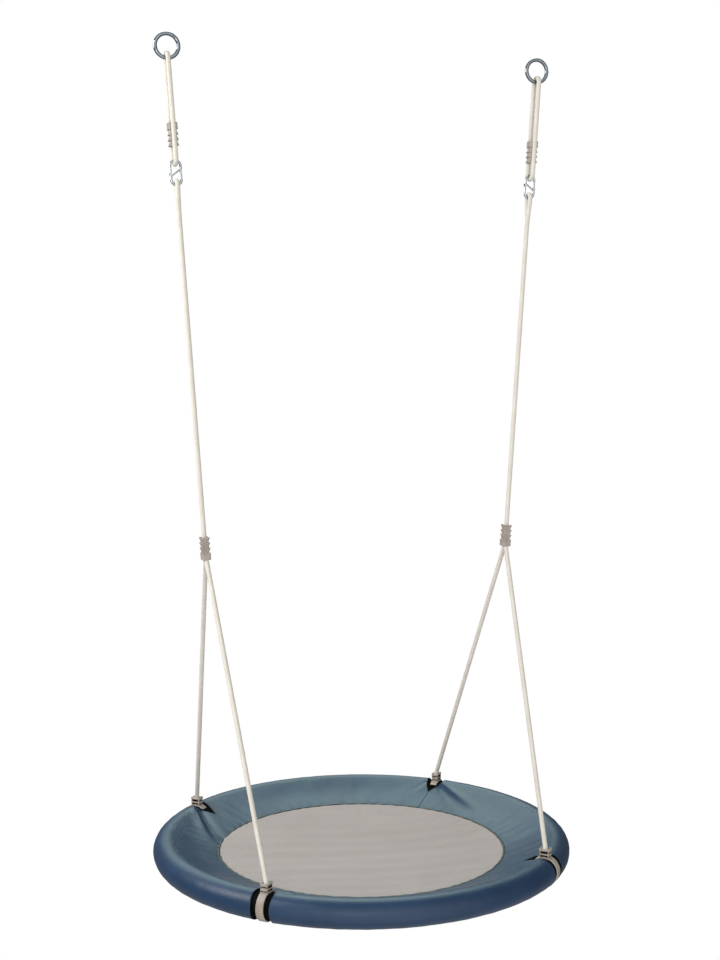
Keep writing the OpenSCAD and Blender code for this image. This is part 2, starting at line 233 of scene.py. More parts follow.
class Nodes:
    """Short-hand for building one material's node tree."""

    def __init__(self, name):
        self.material = bpy.data.materials.new(name)
        self.material.use_nodes = True
        self.tree = self.material.node_tree
        self.shader = self.tree.nodes["Principled BSDF"]

    def add(self, kind, **values):
        node = self.tree.nodes.new(kind)
        for key, value in values.items():
            if key in node.inputs:
                node.inputs[key].default_value = value
            else:
                setattr(node, key, value)
        return node

    def link(self, source, target, socket):
        self.tree.links.new(source, target.inputs[socket])

    def coords(self, source, scale):
        """UV or Object coordinates, scaled."""
        where = self.add("ShaderNodeTexCoord")
        mapping = self.add("ShaderNodeMapping", Scale=scale)
        self.link(where.outputs[source], mapping, "Vector")
        return mapping.outputs["Vector"]

    def noise(self, vector, scale, detail=3, roughness=0.5):
        node = self.add("ShaderNodeTexNoise", Scale=scale, Detail=detail, Roughness=roughness)
        self.link(vector, node, "Vector")
        return node.outputs["Fac"]

    def wave(self, vector, direction, scale, distortion=0.0):
        node = self.add("ShaderNodeTexWave", Scale=scale, Distortion=distortion)
        node.bands_direction = direction
        self.link(vector, node, "Vector")
        return node.outputs["Fac"]

    def math(self, operation, a, b):
        node = self.add("ShaderNodeMath", operation=operation)
        for k, value in enumerate((a, b)):
            if isinstance(value, (int, float)):
                node.inputs[k].default_value = value
            else:
                self.tree.links.new(value, node.inputs[k])
        return node.outputs[0]

    def ramp(self, value, stops):
        node = self.add("ShaderNodeValToRGB")
        elements = node.color_ramp.elements
        while len(elements) < len(stops):
            elements.new(0.5)
        for element, (position, colour) in zip(elements, stops):
            element.position = position
            element.color = (*colour, 1)
        self.link(value, node, "Fac")
        return node.outputs["Color"]

    def grey(self, value, low, high):
        node = self.add("ShaderNodeMapRange")
        node.inputs["To Min"].default_value = low
        node.inputs["To Max"].default_value = high
        self.link(value, node, "Value")
        return node.outputs["Result"]

    def bump(self, height, distance, strength=1.0, normal=None):
        node = self.add("ShaderNodeBump", Distance=distance, Strength=strength)
        self.link(height, node, "Height")
        if normal is not None:
            self.link(normal, node, "Normal")
        return node.outputs["Normal"]

    def set(self, **values):
        for key, value in values.items():
            socket = self.shader.inputs[key.replace("_", " ")]
            if isinstance(value, bpy.types.NodeSocket):
                self.tree.links.new(value, socket)
            else:
                socket.default_value = value
        return self.material


# Waves of each fine texture, per metre of cloth or rope
YARN_WAVES = 340
WEAVE_WAVES = 250
MESH_WARP_WAVES = 58
MESH_WEFT_WAVES = 116


def rope_material():
    """Cream braided cord: fine yarns within each strand, random soiling, and painted shade in the
    yarns' grooves.
    """
    m = Nodes("cream_rope")
    obj = m.coords("Object", (1, 1, 1))
    yarn = m.wave(m.coords("UV", (1, 0.35, 1)), "DIAGONAL", YARN_WAVES, 0.6)
    soil = m.noise(obj, 38, 4, 0.6)
    fuzz = m.noise(obj, 2600, 2)
    # The yarn wave darkens the colour along its grooves: painted shade. The soil noise is random
    # soiling
    tone = m.math("ADD", m.math("MULTIPLY", soil, 0.75), m.math("MULTIPLY", yarn, 0.25))
    colour = m.ramp(
        tone,
        [(0.2, (0.60, 0.555, 0.475)), (0.5, (0.68, 0.64, 0.57)), (0.8, (0.73, 0.695, 0.63))],
    )
    normal = m.bump(yarn, 0.25 * MM, 0.5)
    normal = m.bump(fuzz, 0.12 * MM, 0.5, normal)
    return m.set(
        Base_Color=colour,
        Roughness=m.grey(fuzz, 0.66, 0.86),
        Normal=normal,
        Sheen_Weight=0.15,
        Sheen_Roughness=0.5,
        Specular_IOR_Level=0.3,
    )


def plastic_material(name, dark, light, gloss):
    """Moulded plastic with a fine spark-eroded skin and faint flow marks."""
    m = Nodes(name)
    obj = m.coords("Object", (1, 1, 1))
    skin = m.noise(obj, 1900, 3, 0.6)
    flow = m.noise(obj, 45, 3)
    colour = m.ramp(flow, [(0.3, dark), (0.75, light)])
    return m.set(
        Base_Color=colour,
        Roughness=m.grey(m.math("ADD", skin, flow), 0.34, 0.56),
        Normal=m.bump(skin, 0.06 * MM, 0.5),
        Specular_IOR_Level=gloss,
    )


def metal_material(name, low, high, rough_low, rough_high, grain):
    """Plated steel whose sheen varies along drawing marks."""
    m = Nodes(name)
    obj = m.coords("Object", (1, 1, 1))
    mottle = m.noise(obj, grain, 4, 0.6)
    scratch = m.noise(m.coords("Object", (1, 1, 0.15)), grain * 12, 2)
    return m.set(
        Base_Color=m.ramp(mottle, [(0.35, low), (0.65, high)]),
        Metallic=1.0,
        Roughness=m.grey(mottle, rough_low, rough_high),
        Normal=m.bump(scratch, 0.02 * MM, 0.4),
    )


def foam_material():
    """Black closed-cell foam, its black pushed darker than foam's own as painted shade for the
    openings it fills.
    """
    m = Nodes("black_foam")
    obj = m.coords("Object", (1, 1, 1))
    cells = m.add("ShaderNodeTexVoronoi", Scale=900.0)
    m.link(obj, cells, "Vector")
    shade = m.noise(obj, 60, 3)
    return m.set(
        Base_Color=m.ramp(
            shade, [(0.3, (0.002, 0.002, 0.0022)), (0.8, (0.007, 0.007, 0.008))]
        ),
        Roughness=m.grey(shade, 0.85, 1.0),
        Normal=m.bump(cells.outputs["Distance"], 0.4 * MM, 0.6),
        Specular_IOR_Level=0.02,
    )


def cover_material(name, dark, light):
    """Coated woven cloth: a plain weave under a thin gloss, with faint creases of wear."""
    m = Nodes(name)
    uv = m.coords("UV", (1, 1, 1))
    warp = m.wave(uv, "X", WEAVE_WAVES)
    weft = m.wave(uv, "Y", WEAVE_WAVES)
    weave = m.math("MULTIPLY", warp, weft)
    obj = m.coords("Object", (1, 1, 1))
    cloud = m.noise(obj, 9, 5, 0.6)
    rub = m.noise(obj, 120, 4, 0.7)
    tone = m.math("ADD", m.math("MULTIPLY", cloud, 0.7), m.math("MULTIPLY", rub, 0.3))
    normal = m.bump(weave, 0.2 * MM, 0.4)
    normal = m.bump(m.noise(obj, 40, 2), 1.2 * MM, 0.15, normal)
    return m.set(
        Base_Color=m.ramp(tone, [(0.3, dark), (0.7, light)]),
        Roughness=m.grey(rub, 0.28, 0.40),
        Normal=normal,
        Specular_IOR_Level=0.32,
    )


def mesh_material():
    """Taupe open mesh: round threads, with a pore painted dark between each four as painted shade.
    """
    m = Nodes("taupe_mesh")
    uv = m.coords("UV", (1, 1, 1))
    warp = m.wave(uv, "X", MESH_WARP_WAVES)
    weft = m.wave(uv, "Y", MESH_WEFT_WAVES)
    thread = m.math("MAXIMUM", warp, m.math("MULTIPLY", weft, 0.6))
    obj = m.coords("Object", (1, 1, 1))
    cloud = m.noise(obj, 12, 4, 0.6)
    slub = m.noise(m.coords("UV", (1, 12, 1)), 90, 3)
    # Darker where the threads dip: painted shade for the openings between them
    pore_shade = m.ramp(thread, [(0.1, (0.50, 0.48, 0.47)), (0.7, (1, 1, 1))])
    yarn = m.ramp(
        m.math("ADD", m.math("MULTIPLY", cloud, 0.6), m.math("MULTIPLY", slub, 0.4)),
        [(0.3, (0.362, 0.294, 0.288)), (0.7, (0.422, 0.346, 0.341))],
    )
    mix = m.add("ShaderNodeMix", data_type="RGBA", blend_type="MULTIPLY")
    mix.inputs[0].default_value = 1.0
    m.tree.links.new(yarn, mix.inputs[6])
    m.tree.links.new(pore_shade, mix.inputs[7])
    return m.set(
        Base_Color=mix.outputs[2],
        Roughness=m.grey(slub, 0.65, 0.85),
        Normal=m.bump(thread, 0.5 * MM, 0.6),
        Sheen_Weight=0.2,
        Sheen_Roughness=0.5,
    )


ROPE = rope_material()
PLASTIC = plastic_material("taupe_plastic", (0.30, 0.258, 0.222), (0.42, 0.368, 0.325), 0.45)
# The slots' and grooves' near-black plastic is painted shade, standing in for the shade inside
# them
SHADOWED_PLASTIC = plastic_material(
    "slot_painted_shade", (0.002, 0.002, 0.002), (0.006, 0.005, 0.005), 0.05
)
# The link's base colour, and much more the ring's, is darker than plated steel: painted shade for
# the dim room the metal reflects
CHROME = metal_material("chrome_link", (0.36, 0.39, 0.42), (0.50, 0.53, 0.56), 0.04, 0.10, 60)
ZINC = metal_material("zinc_ring", (0.17, 0.19, 0.22), (0.27, 0.30, 0.33), 0.05, 0.11, 90)
FIXING = metal_material("steel_fixings", (0.40, 0.41, 0.42), (0.58, 0.58, 0.58), 0.25, 0.45, 200)
TUBE = metal_material("frame_steel", (0.42, 0.44, 0.45), (0.58, 0.60, 0.61), 0.30, 0.52, 70)
FOAM = foam_material()
COVER = cover_material("blue_cover", (0.0145, 0.036, 0.080), (0.022, 0.051, 0.108))
# The binding's near-black, far darker than the cover, is partly the tape's own colour and partly
# painted shade for the dark line between cover and mesh
BINDING = cover_material("cover_binding", (0.004, 0.006, 0.010), (0.010, 0.014, 0.022))
THREAD = cover_material("cover_thread", (0.006, 0.009, 0.015), (0.014, 0.020, 0.030))
MESH = mesh_material()


def finish_piece(obj, material, body, slot, *nodes):
    obj.data.materials.append(material)
    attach(obj, body)
    if nodes:
        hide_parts(*nodes)
    return obj


# ---------------------------------------------------------------- ropes

STRANDS = 8
LAY = 38 * MM
ROPE_SIDES = 40
ROPE_STEP = 1.25 * MM
BRAID_DEPTH = 0.3 * MM
PILLOW = 0.35
THIN_END = 0.35
BEND_STEPS = 40
EYE_STEPS = 30


def braid_height(angle, s):
    """Pillowed height, from 0 to 1, of a diamond braid at an angle round and a way along."""
    a = (STRANDS * (angle / (2 * math.pi) - s / LAY)) % 1.0
    b = (STRANDS * (angle / (2 * math.pi) + s / LAY)) % 1.0
    return ((1 - (2 * a - 1) ** 2) * (1 - (2 * b - 1) ** 2)) ** PILLOW


def rope(name, path, taper=0.0):
    """A braided rope along a path. taper is the length over which its start is thinner."""
    path = resample(path, ROPE_STEP)
    s = arc_length(path)
    n, b = path_frames(path)
    angle = np.linspace(0, 2 * math.pi, ROPE_SIDES, endpoint=False)
    a, along = np.meshgrid(angle, s)
    r = rope_r - BRAID_DEPTH * (1 - braid_height(a, along))
    if taper:
        r *= np.clip(THIN_END + (1 - THIN_END) * along / taper, 0, 1)
    points = path[:, None] + r[..., None] * (
        np.cos(a)[..., None] * n[:, None] + np.sin(a)[..., None] * b[:, None]
    )
    u = np.linspace(0, 2 * math.pi * rope_r, ROPE_SIDES + 1)
    uv = np.stack(np.meshgrid(u, s), -1)
    obj = grid(name, points, uv, close_cols=True, caps=True)
    return obj, path


sling_top = loop_r - strand_at
sling_bottom = -link_at + LINK_LEN / 2 - LINK_WIRE / 2 + strand_at - eye_r
ADJUSTER_AT = 151.5 * MM
ADJUSTER_H = 47.5 * MM
line_eye = -link_at - LINK_LEN / 2 + LINK_WIRE / 2
CLAMP_RISE = 41 * MM
BUTT_GAP = 0.4 * MM
EYE_LEN = 38 * MM
TAIL_LEN = 22 * MM
TAIL_TAPER = 30 * MM

for side in SIDES:
    place = side_matrix(side)
    # A loop over the ring and under the link, whose ends butt inside the adjuster's groove
    local = np.concatenate(
        [
            [[0, strand_at, -ADJUSTER_AT]],
            arc((0, 0, sling_top), strand_at, 0, 180, BEND_STEPS),
            arc((0, 0, sling_bottom), strand_at, 180, 360, BEND_STEPS),
            [[0, strand_at, -ADJUSTER_AT - BUTT_GAP]],
        ]
    )
    obj, path = rope(f"sling_{side}", transform(local, place))
    finish_piece(obj, ROPE, f"sling_{side}", "cream_rope", f"sling_rope_{side}")

    # A tucked tail, an eye over the link's lower bow, then the single line
    merge = line_eye - EYE_LEN
    local = np.concatenate(
        [
            [[0, 2.2 * MM, merge - TAIL_LEN]],
            [[0, 3.4 * MM, merge]],
            [[0, 6.6 * MM, line_eye - 12 * MM]],
            arc((0, 0, line_eye), eye_r, 0, 180, EYE_STEPS),
            [[0, -6.6 * MM, line_eye - 12 * MM]],
            [[0, -2.2 * MM, merge]],
            [[0, -0.4 * MM, merge - 20 * MM]],
            [[0, 0, merge - 34 * MM]],
            [[0, 0, -run + CLAMP_RISE - 4 * MM]],
        ]
    )
    obj, path = rope(f"line_{side}", transform(local, place), taper=TAIL_TAPER)
    finish_piece(obj, ROPE, f"line_{side}", "cream_rope", f"line_rope_{side}")

for name, angle in CLIPS.items():
    side = "left" if "left" in name else "right"
    away = 1 if "back" in name else -1
    top = np.array(fork[side])
    end = np.array(clip_matrix(angle) @ Vector((0, 0, clip_top)))
    slope = (end - top) / np.linalg.norm(end - top)
    # Out of the clamp beside its twin, straight to the clip, then down into the block's bore
    path = np.array(
        [
            top + [0, away * 5.0 * MM, -1 * MM],
            top + [0, away * 5.1 * MM, -7 * MM],
            top + slope * 15 * MM + [0, away * 0.4 * MM, 0],
            top + slope * 26 * MM,
            end - slope * 8 * MM,
            end - [0, 0, 1 * MM],
            end - [0, 0, 12 * MM],
        ]
    )
    obj, path = rope(f"leg_{name}", path)
    finish_piece(obj, ROPE, "seat", "cream_rope", f"leg_rope_{name}")


# ---------------------------------------------------------------- rings


WELD_TURN = math.pi * 0.35
WELD_HALF_W = 1.6 * MM
WELD_RISE = 0.35 * MM
WIRE_SIDES = 24
RING_STEPS = 120


def sweep_ring(name, matrix, major, minor, weld):
    """A round wire ring in the local XZ plane, with a weld bead on its upper half."""
    t = np.linspace(0, 2 * math.pi, RING_STEPS, endpoint=False)
    p = np.linspace(0, 2 * math.pi, WIRE_SIDES, endpoint=False)
    pp, tt = np.meshgrid(p, t)
    away = np.abs((tt - WELD_TURN + math.pi) % (2 * math.pi) - math.pi)
    r = minor + weld * np.exp(-((away * major / WELD_HALF_W) ** 2))
    radius = major + r * np.cos(pp)
    points = np.stack([radius * np.cos(tt), r * np.sin(pp), radius * np.sin(tt)], -1)
    uv = unit_grid(WIRE_SIDES, RING_STEPS, height=2 * math.pi * major)
    return grid(name, transform(points, matrix), uv, close_rows=True, close_cols=True)


for side in SIDES:
    low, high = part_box(f"ring_{side}")
    middle = Matrix.Translation((low + high) / 2)
    major = (ring_d - ring_wire) / 2
    obj = sweep_ring(f"hanging_ring_{side}", middle, major, ring_wire / 2, WELD_RISE)
    finish_piece(obj, ZINC, "hangers", "zinc_ring", f"ring_{side}")


# ---------------------------------------------------------------- moulded clamps

LOOP_STEPS = 72
# Powers of the rounded outlines
BOX = 7.0
ROUND = 2


def squircle(half_x, half_y, power):
    """A rounded rectangle as LOOP_STEPS points, and how near each is to a corner."""
    a = np.linspace(0, 2 * math.pi, LOOP_STEPS, endpoint=False) + math.pi / LOOP_STEPS
    c, s = np.cos(a), np.sin(a)
    scale = (np.abs(c) ** power + np.abs(s) ** power) ** (-1 / power)
    corner = np.clip(np.abs(np.sin(2 * a)), 0, 1) ** 2
    return np.stack([c * scale * half_x, s * scale * half_y], -1), corner


def loft(name, levels, matrix):
    """A closed shape through levels of (z, half x, half y, power, ear).

    ear lifts the corners and hollows the middle of each face.
    """
    rows = []
    for z, half_x, half_y, power, ear in levels:
        outline, corner = squircle(half_x, half_y, power)
        outline *= (1 - 0.8 * ear / half_x * (1 - corner))[:, None]
        rows.append(np.concatenate([outline, (z + ear * corner)[:, None]], 1))
    uv = unit_grid(LOOP_STEPS, len(levels) - 1)
    return grid(name, transform(np.array(rows), matrix), uv, close_cols=True, caps=True)


def cut(obj, cutters):
    """Cuts closed meshes out of obj and removes them."""
    for cutter in cutters:
        modifier = obj.modifiers.new("cut", "BOOLEAN")
        modifier.operation = "DIFFERENCE"
        modifier.solver = "EXACT"
        modifier.object = cutter
    bake(obj)
    for cutter in cutters:
        bpy.data.objects.remove(cutter)


def soften(obj, voxel, smooth):
    """Remeshes a moulding so that every edge is slightly rounded, as a moulding's is."""
    remesh = obj.modifiers.new("remesh", "REMESH")
    remesh.mode = "VOXEL"
    remesh.voxel_size = voxel
    remesh.use_smooth_shade = True
    relax = obj.modifiers.new("relax", "SMOOTH")
    relax.factor = 0.5
    relax.iterations = smooth
    bake(obj)
    obj.data.polygons.foreach_set("use_smooth", [True] * len(obj.data.polygons))


# How far a lip rises at its corners
EAR_H = 1.3 * MM


def cup_levels(bottom, plain, fins, fin_h, half_x, half_y, bore=True):
    """A plain tier, then cups that flare away from it, each with an open lip round the next."""
    lip = 1.2 * MM
    waist = 2.7 * MM
    depth = 3.4 * MM
    levels = [
        (bottom, half_x - 2.0 * MM, half_y - 2.0 * MM, BOX, 0),
        (bottom + 0.5 * MM, half_x - 0.8 * MM, half_y - 0.8 * MM, BOX, 0),
        (bottom + 1.4 * MM, half_x - 0.3 * MM, half_y - 0.3 * MM, BOX, 0),
        (bottom + plain * 0.6, half_x - 0.5 * MM, half_y - 0.5 * MM, BOX, 0),
        (bottom + plain - 1.2 * MM, half_x, half_y, BOX, 0.5 * EAR_H),
        (bottom + plain, half_x - 0.3 * MM, half_y - 0.3 * MM, BOX, EAR_H),
    ]
    z = bottom + plain
    for _ in range(fins):
        levels += [
            (z, half_x - lip, half_y - lip, BOX, EAR_H),
            (z - depth * 0.5, half_x - lip - 0.8 * MM, half_y - lip - 0.8 * MM, BOX, 0.5 * EAR_H),
            (z - depth, half_x - waist - 0.4 * MM, half_y - waist, BOX, 0),
            (z + fin_h * 0.30, half_x - waist, half_y - waist + 0.3 * MM, BOX, 0),
            (z + fin_h * 0.65, half_x - waist * 0.55, half_y - waist * 0.55, BOX, 0),
            (z + fin_h * 0.88, half_x - 0.3 * MM, half_y - 0.3 * MM, BOX, 0.5 * EAR_H),
            (z + fin_h - 0.5 * MM, half_x, half_y, BOX, EAR_H),
            (z + fin_h, half_x - 0.4 * MM, half_y - 0.4 * MM, BOX, EAR_H),
        ]
        z += fin_h
    levels += [
        (z, half_x - lip, half_y - lip, BOX, EAR_H),
        (z - depth * 0.5, half_x - lip - 0.8 * MM, half_y - lip - 0.8 * MM, BOX, 0.4 * EAR_H),
        (z - depth, half_x - waist, half_y - waist, BOX, 0),
    ]
    if bore:
        levels += [
            (z - depth, 5.6 * MM, 5.6 * MM, ROUND, 0),
            (z - depth - 8 * MM, 5.3 * MM, 5.3 * MM, ROUND, 0),
            (z - depth - 8 * MM, 1 * MM, 1 * MM, ROUND, 0),
        ]
    return levels


def bar(matrix, half_x, half_y, low, high, power):
    """A rounded bar along local Z, used as a cutter."""
    ends = [(low, half_x, half_y, power, 0), (high, half_x, half_y, power, 0)]
    return loft("cutter", ends, matrix)


CLAMP_HALF_X = 9.75 * MM
CLAMP_HALF_Y = 12 * MM
CLAMP_FOOT = 6.5 * MM
TIER = 13.8 * MM
FINS = 3
CLAMP_VOXEL = 0.35 * MM

for side in SIDES:
    place = side_matrix(side)
    at_fork = place @ Matrix.Translation((0, 0, -run))
    fin_h = (CLAMP_RISE + CLAMP_FOOT - TIER - EAR_H) / FINS
    levels = cup_levels(-CLAMP_FOOT, TIER, FINS, fin_h, CLAMP_HALF_X, CLAMP_HALF_Y)
    obj = loft(f"fork_clamp_{side}", levels, at_fork)
    soften(obj, CLAMP_VOXEL, 2)
    finish_piece(obj, PLASTIC, f"clamp_{side}", "taupe_plastic", f"leg_clamp_{side}")

    flipped = Matrix.Rotation(math.pi, 4, "X")
    at_adjuster = place @ Matrix.Translation((0, 0, -ADJUSTER_AT)) @ flipped
    fin_h = (ADJUSTER_H - TIER - EAR_H) / FINS
    levels = cup_levels(
        -ADJUSTER_H / 2, TIER, FINS, fin_h, CLAMP_HALF_X, CLAMP_HALF_Y, bore=False
    )
    obj = loft(f"adjuster_{side}", levels, at_adjuster)
    grooves = []
    for y in (-1, 1):
        shift = Matrix.Translation((0, y * (strand_at + 2.5 * MM), 0))
        grooves.append(bar(at_adjuster @ shift, 5.4 * MM, 7.8 * MM, -40 * MM, 40 * MM, 3))
    cut(obj, grooves)
    soften(obj, CLAMP_VOXEL, 2)
    finish_piece(obj, PLASTIC, f"sling_{side}", "taupe_plastic", f"loop_adjuster_{side}")


# ---------------------------------------------------------------- clips on the rim

BLOCK_HALF_X = 12 * MM
BLOCK_HALF_Y = 8.5 * MM
SLOT_Z = (31.5 * MM, 39.5 * MM)
SLOT_HALF_L = 8.0 * MM
SLOT_HALF_H = 2.3 * MM
SLOT_DEEP = 2.5 * MM
SLOT_POWER = 5
GROOVE = 1.6 * MM
BLOCK_VOXEL = 0.32 * MM


def block_levels(top):
    """The clip's block: a foot, two grooved plates and a lip round the leg rope's bore."""
    x, y = BLOCK_HALF_X, BLOCK_HALF_Y
    levels = [
        (21.5 * MM, x - 1.6 * MM, y - 0.3 * MM, BOX, 0),
        (27.6 * MM, x - 1.6 * MM, y - 0.3 * MM, BOX, 0),
    ]
    for z in SLOT_Z:
        levels += [
            (z - 2.9 * MM, x - 0.7 * MM, y - 0.2 * MM, BOX, 0),
            (z - 2.4 * MM, x, y, BOX, 0),
            (z - 1.3 * MM, x - 0.1 * MM, y, BOX, 0),
            (z - 1.0 * MM, x - GROOVE, y - 0.2 * MM, BOX, 0),
            (z + 1.0 * MM, x - GROOVE, y - 0.2 * MM, BOX, 0),
            (z + 1.3 * MM, x - 0.1 * MM, y, BOX, 0),
            (z + 2.4 * MM, x, y, BOX, 0),
            (z + 2.9 * MM, x - 0.7 * MM, y - 0.2 * MM, BOX, 0),
        ]
    levels += [
        (42.7 * MM, x - 0.6 * MM, y - 0.3 * MM, BOX, 0),
        (43.2 * MM, x + 0.3 * MM, y + 0.2 * MM, BOX, 0),
        (top - 1.5 * MM, x + 0.2 * MM, y + 0.3 * MM, BOX, 0.6 * MM),
        (top - 0.8 * MM, x - 0.4 * MM, y - 0.2 * MM, BOX, 1.2 * MM),
        (top - 0.9 * MM, x - 2.0 * MM, y - 1.6 * MM, BOX, 0.8 * MM),
        (top - 2.4 * MM, x - 3.0 * MM, y - 2.2 * MM, 5, 0),
        (top - 2.6 * MM, 5.6 * MM, 5.4 * MM, ROUND, 0),
        (top - 12 * MM, 5.3 * MM, 5.3 * MM, ROUND, 0),
        (top - 12 * MM, 1 * MM, 1 * MM, ROUND, 0),
    ]
    return levels


def shadowed(point):
    """Whether a point of the block's surface lies inside one of its slots or grooves."""
    if min(abs(point.z - z) for z in SLOT_Z) > SLOT_HALF_H + 0.1 * MM:
        return False
    if abs(point.x) < SLOT_HALF_L and abs(point.y) < BLOCK_HALF_Y - 0.5 * MM:
        return True
    return BLOCK_HALF_X - GROOVE - 0.3 * MM < abs(point.x) < BLOCK_HALF_X - 1.0 * MM


# The four blocks are one moulding, made at the origin and copied to its places
block = loft("block", block_levels(clip_top), Matrix())
slots = []
for z in SLOT_Z:
    for y in (-1, 1):
        centre = Matrix.Translation((0, y * BLOCK_HALF_Y, z))
        slots.append(bar(centre, SLOT_HALF_L, SLOT_DEEP, -SLOT_HALF_H, SLOT_HALF_H, SLOT_POWER))
cut(block, slots)
soften(block, BLOCK_VOXEL, 1)
in_shadow = [int(shadowed(polygon.center)) for polygon in block.data.polygons]

STRAP_STEPS = 128
STRAP_CROWN = 0.5 * MM
STRAP_EDGE_RISE = 0.55 * MM


def strap_outline():
    """The strap's section as (along the rim, radius): crowned, and thicker along its two edges."""
    section = []
    for t in np.linspace(-1, 1, 29):
        edge = math.sqrt(max(0.0, 1 - abs(t) ** 10))
        crown = STRAP_CROWN * (1 - t * t)
        crown = crown + STRAP_EDGE_RISE * math.exp(-(((abs(t) - 0.86) / 0.09) ** 2))
        body = (STRAP_R - STRAP_IN_R - STRAP_CROWN) * (0.35 + 0.65 * edge)
        section.append((t * STRAP_W / 2, STRAP_IN_R + body + crown))
    section += [(t * (STRAP_W / 2 - 0.3 * MM), STRAP_IN_R) for t in (0.97, 0.5, 0, -0.5, -0.97)]
    return np.array(section)


strap_section = strap_outline()
turn = np.linspace(0, 2 * math.pi, STRAP_STEPS, endpoint=False)[:, None]
strap_points = np.stack(
    [
        strap_section[None, :, 1] * np.sin(turn),
        strap_section[None, :, 0] + 0 * turn,
        strap_section[None, :, 1] * np.cos(turn),
    ],
    -1,
)

for name, angle in CLIPS.items():
    place = clip_matrix(angle)
    obj = bpy.data.objects.new(f"rope_block_{name}", block.data.copy())
    bpy.context.scene.collection.objects.link(obj)
    obj.data.transform(place)
    finish_piece(obj, PLASTIC, "seat", "taupe_plastic", f"clip_block_{name}")
    # Slots and grooves take the near-black material: painted shade
    obj.data.materials.append(SHADOWED_PLASTIC)
    obj.data.polygons.foreach_set("material_index", in_shadow)

    uv = unit_grid(len(strap_section), STRAP_STEPS)
    points = transform(strap_points, place)
    obj = grid(f"rim_strap_{name}", points, uv, close_rows=True, close_cols=True)
    finish_piece(obj, PLASTIC, "seat", "taupe_plastic", f"clip_strap_{name}")

bpy.data.objects.remove(block)


# ---------------------------------------------------------------- rim padding


def rim_surface(radius_at, azimuths, turns):
    """Points at radius_at(azimuth, turn) from the rim's centreline. Turn 0 is outwards, 90 up."""
    a, t = np.meshgrid(np.radians(azimuths), np.radians(turns), indexing="ij")
    r = radius_at(a, t)
    out = rim_r + r * np.cos(t)
    return np.stack([out * np.cos(a), out * np.sin(a), rim_z + r * np.sin(t)], -1)


FOAM_RIPPLE = 0.25 * MM
FOAM_SPAN = 44.9
FOAM_TURNS = 48
FOAM_COLS = 140


def foam_radius(a, t):
    """Foam with a slightly uneven skin."""
    ripple = np.sin(a * 61 + 2 * np.sin(t)) * np.sin(t * 3 + a * 17)
    return FOAM_R + FOAM_RIPPLE * ripple - 0.2 * MM


for name, angle in CLIPS.items():
    azimuths = np.linspace(angle - FOAM_SPAN, angle + FOAM_SPAN, FOAM_COLS)
    turns = np.linspace(0, 360, FOAM_TURNS + 1)[:-1]
    points = rim_surface(foam_radius, azimuths, turns)
    round_foam = np.linspace(0, 2 * math.pi * FOAM_R, FOAM_TURNS + 1)
    uv = np.stack(np.meshgrid(round_foam, np.radians(azimuths) * rim_r), -1)
    obj = grid(f"foam_{name}", points, uv, close_cols=True, caps=True)
    finish_piece(obj, FOAM, "seat", "black_foam", f"foam_sleeve_{name}")


# ---------------------------------------------------------------- cover

skirt_in = np.array([mesh_r + 0.4 * MM - rim_r, mesh_edge_z - rim_z])
to_rim = np.linalg.norm(skirt_in)
skirt_angle = math.atan2(-skirt_in[1], -skirt_in[0]) + math.asin(pad_r / to_rim)
skirt_len = math.sqrt(to_rim**2 - pad_r**2)
top_turn = math.pi / 2 + skirt_angle
SKIRT_ROWS = 60
WRAP_ROWS = 84
WRAP_GAP = 0.02
wrap_turn = 2 * math.pi - WRAP_GAP
half_l = rim_r + pad_r / 2 - SLIT_TIP_R
slit_arc_r = (half_l**2 + SLIT_HALF_W**2) / (2 * SLIT_HALF_W)


def slit_half_width(r):
    """Half the width of a clip's opening at a distance from the seat's centre."""
    x = np.abs(r - (SLIT_TIP_R + half_l))
    inside = np.clip(slit_arc_r**2 - x**2, 0, None)
    return np.clip(np.sqrt(inside) - (slit_arc_r - SLIT_HALF_W), 0, None)


def cover_profile():
    """The cover's section from the mesh outwards: distance out, height, normal, way along."""
    along = np.linspace(0, 1, SKIRT_ROWS, endpoint=False)
    direction = np.array([math.cos(skirt_angle), math.sin(skirt_angle)])
    skirt = skirt_in + along[:, None] * skirt_len * direction
    turn = top_turn - np.linspace(0, wrap_turn, WRAP_ROWS)
    wrap = pad_r * np.stack([np.cos(turn), np.sin(turn)], -1)
    section = np.concatenate([skirt, wrap])
    normal = np.concatenate(
        [
            np.tile([-math.sin(skirt_angle), math.cos(skirt_angle)], (SKIRT_ROWS, 1)),
            np.stack([np.cos(turn), np.sin(turn)], -1),
        ]
    )
    wrapped = skirt_len + np.linspace(0, wrap_turn, WRAP_ROWS) * pad_r
    s = np.concatenate([along * skirt_len, wrapped])
    return rim_r + section[:, 0], rim_z + section[:, 1], normal, s


# Folds that the clips pull, in mm: the clip's angle, where the fold starts and where it ends, how
# far one side stands over the other, its width, and how deep a valley runs along it. Start and end
# are (sideways from the clip, distance from the seat's centre)
FOLDS = [
    (135, (14, 419), (124, 289), -3.2, 11, 2.2),
    (135, (12, 412), (36, 372), -0.8, 5, 0),
    (45, (-16, 405), (-150, 301), 2.7, 9, 1.0),
    (45, (15, 410), (40, 350), 0.6, 6, 0),
    (225, (17, 425), (66, 415), 0.8, 9, 4.0),
    (225, (-16, 412), (-50, 345), 1.0, 7, 0),
    (315, (-18, 408), (-110, 350), 1.3, 9, 0.8),
    (315, (18, 408), (62, 330), 1.0, 8, 0),
]


